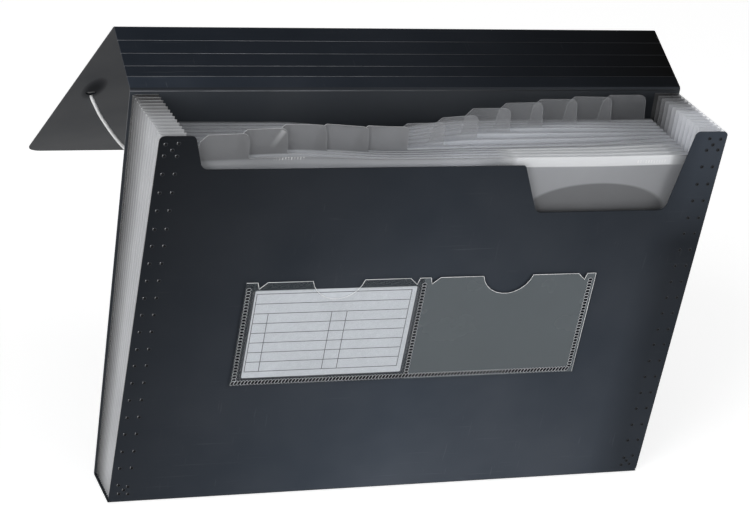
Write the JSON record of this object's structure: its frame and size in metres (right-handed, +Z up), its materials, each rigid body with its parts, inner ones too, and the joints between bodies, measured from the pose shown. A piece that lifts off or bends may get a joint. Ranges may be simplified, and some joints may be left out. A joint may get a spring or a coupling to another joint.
{
  "type": "expanding file folder",
  "caption": "Expanding file folder standing open: fan of tabbed dividers between pleated sides, clear label pocket, cover flap folded back with an elastic cord.",
  "frame": {"origin": "centre of the base strip's underside", "axes": "+X across the file to its right as seen from the front, +Y from the front panel towards the rear panel, +Z up"},
  "size_m": [0.33, 0.2927, 0.2586],
  "materials": {
    "cover_sheet": "fine matte grain",
    "frosted_sheet": "translucent frosted",
    "clear_film": "clear gloss",
    "card_stock": "uncoated, ruled",
    "elastic": "braided"
  },
  "bodies": {
    "case": {"base_strip": "cover_sheet", "rear_panel": "cover_sheet", "gusset_left": "frosted_sheet", "gusset_right": "frosted_sheet"},
    "spine_1": {"spine_strip_1": "cover_sheet"},
    "spine_2": {"spine_strip_2": "cover_sheet"},
    "spine_3": {"spine_strip_3": "cover_sheet"},
    "spine_4": {"spine_strip_4": "cover_sheet"},
    "spine_5": {"spine_strip_5": "cover_sheet"},
    "flap": {"cover_flap": "cover_sheet", "cord_knot_left": "elastic", "cord_knot_right": "elastic"},
    "front": {"front_panel": "cover_sheet", "label_pocket": "clear_film"},
    "card": {"index_card": "card_stock"},
    "cord": {"elastic_cord": "elastic"},
    "leaf_01": {"divider_01": "frosted_sheet"},
    "leaf_02": {"divider_02": "frosted_sheet"},
    "leaf_03": {"divider_03": "frosted_sheet"},
    "leaf_04": {"divider_04": "frosted_sheet"},
    "leaf_05": {"divider_05": "frosted_sheet"},
    "leaf_06": {"divider_06": "frosted_sheet"},
    "leaf_07": {"divider_07": "frosted_sheet"},
    "leaf_08": {"divider_08": "frosted_sheet"},
    "leaf_09": {"divider_09": "frosted_sheet"},
    "leaf_10": {"divider_10": "frosted_sheet"},
    "leaf_11": {"divider_11": "frosted_sheet"},
    "leaf_12": {"divider_12": "frosted_sheet"}
  },
  "joints": [
    {"name": "cover_fold", "type": "hinge", "parent": "case", "child": "spine_1", "pos_m": [0, 0.01119, 0.23833], "axis": [1, 0, 0], "range_deg": [0, 104.9]},
    {"name": "score_fold_1", "type": "hinge", "parent": "spine_1", "child": "spine_2", "pos_m": [0, 0.01924, 0.2421], "axis": [1, 0, 0], "range_deg": [0, 25]},
    {"name": "score_fold_2", "type": "hinge", "parent": "spine_2", "child": "spine_3", "pos_m": [0, 0.02649, 0.2455], "axis": [1, 0, 0], "range_deg": [0, 25]},
    {"name": "score_fold_3", "type": "hinge", "parent": "spine_3", "child": "spine_4", "pos_m": [0, 0.03527, 0.24961], "axis": [1, 0, 0], "range_deg": [0, 25]},
    {"name": "score_fold_4", "type": "hinge", "parent": "spine_4", "child": "spine_5", "pos_m": [0, 0.04442, 0.2539], "axis": [1, 0, 0], "range_deg": [0, 25]},
    {"name": "ridge_fold", "type": "hinge", "parent": "spine_5", "child": "flap", "pos_m": [0, 0.0542, 0.25848], "axis": [1, 0, 0], "range_deg": [0, 104.8]},
    {"name": "front_fold", "type": "hinge", "parent": "case", "child": "front", "pos_m": [0, -0.017, 0.0004], "axis": [-1, 0, 0], "range_deg": [0, 7.2], "deforming": ["gusset_left", "gusset_right"]},
    {"name": "divider_fold_01", "type": "hinge", "parent": "case", "child": "leaf_01", "pos_m": [0, -0.01376, 0.00109], "axis": [-1, 0, 0], "range_deg": [0, 7.08]},
    {"name": "divider_fold_02", "type": "hinge", "parent": "case", "child": "leaf_02", "pos_m": [0, -0.01127, 0.00109], "axis": [-1, 0, 0], "range_deg": [0, 6.75]},
    {"name": "divider_fold_03", "type": "hinge", "parent": "case", "child": "leaf_03", "pos_m": [0, -0.00878, 0.00109], "axis": [-1, 0, 0], "range_deg": [0, 6.23]},
    {"name": "divider_fold_04", "type": "hinge", "parent": "case", "child": "leaf_04", "pos_m": [0, -0.00629, 0.00109], "axis": [-1, 0, 0], "range_deg": [0, 5.58]},
    {"name": "divider_fold_05", "type": "hinge", "parent": "case", "child": "leaf_05", "pos_m": [0, -0.0038, 0.0011], "axis": [-1, 0, 0], "range_deg": [0, 4.83]},
    {"name": "divider_fold_06", "type": "hinge", "parent": "case", "child": "leaf_06", "pos_m": [0, -0.00131, 0.0011], "axis": [-1, 0, 0], "range_deg": [0, 4.02]},
    {"name": "divider_fold_07", "type": "hinge", "parent": "case", "child": "leaf_07", "pos_m": [0, 0.00118, 0.0011], "axis": [-1, 0, 0], "range_deg": [0, 3.19]},
    {"name": "divider_fold_08", "type": "hinge", "parent": "case", "child": "leaf_08", "pos_m": [0, 0.00368, 0.0011], "axis": [-1, 0, 0], "range_deg": [0, 2.38]},
    {"name": "divider_fold_09", "type": "hinge", "parent": "case", "child": "leaf_09", "pos_m": [0, 0.00617, 0.0011], "axis": [-1, 0, 0], "range_deg": [0, 1.63]},
    {"name": "divider_fold_10", "type": "hinge", "parent": "case", "child": "leaf_10", "pos_m": [0, 0.00866, 0.0011], "axis": [-1, 0, 0], "range_deg": [0, 0.978]},
    {"name": "divider_fold_11", "type": "hinge", "parent": "case", "child": "leaf_11", "pos_m": [0, 0.01115, 0.0011], "axis": [-1, 0, 0], "range_deg": [0, 0.464]},
    {"name": "divider_fold_12", "type": "hinge", "parent": "case", "child": "leaf_12", "pos_m": [0, 0.01364, 0.0011], "axis": [-1, 0, 0], "range_deg": [0, 0.126]},
    {"name": "card_slide", "type": "slide", "parent": "front", "child": "card", "axis": [0, -0.1495, 0.9888], "range_m": [0, 0.06]},
    {"name": "cord_swing", "type": "hinge", "parent": "flap", "child": "cord", "pos_m": [0, 0.14484, 0.18447], "axis": [1, 0, 0], "range_deg": [-45, 45]}
  ],
  "couplings": [
    {"joint": "divider_fold_01", "follows": "front_fold", "ratio": 0.98316},
    {"joint": "divider_fold_02", "follows": "front_fold", "ratio": 0.93628},
    {"joint": "divider_fold_03", "follows": "front_fold", "ratio": 0.86482},
    {"joint": "divider_fold_04", "follows": "front_fold", "ratio": 0.77424},
    {"joint": "divider_fold_05", "follows": "front_fold", "ratio": 0.67},
    {"joint": "divider_fold_06", "follows": "front_fold", "ratio": 0.55758},
    {"joint": "divider_fold_07", "follows": "front_fold", "ratio": 0.44242},
    {"joint": "divider_fold_08", "follows": "front_fold", "ratio": 0.32999},
    {"joint": "divider_fold_09", "follows": "front_fold", "ratio": 0.22576},
    {"joint": "divider_fold_10", "follows": "front_fold", "ratio": 0.13518},
    {"joint": "divider_fold_11", "follows": "front_fold", "ratio": 0.063723},
    {"joint": "divider_fold_12", "follows": "front_fold", "ratio": 0.016841}
  ]
}
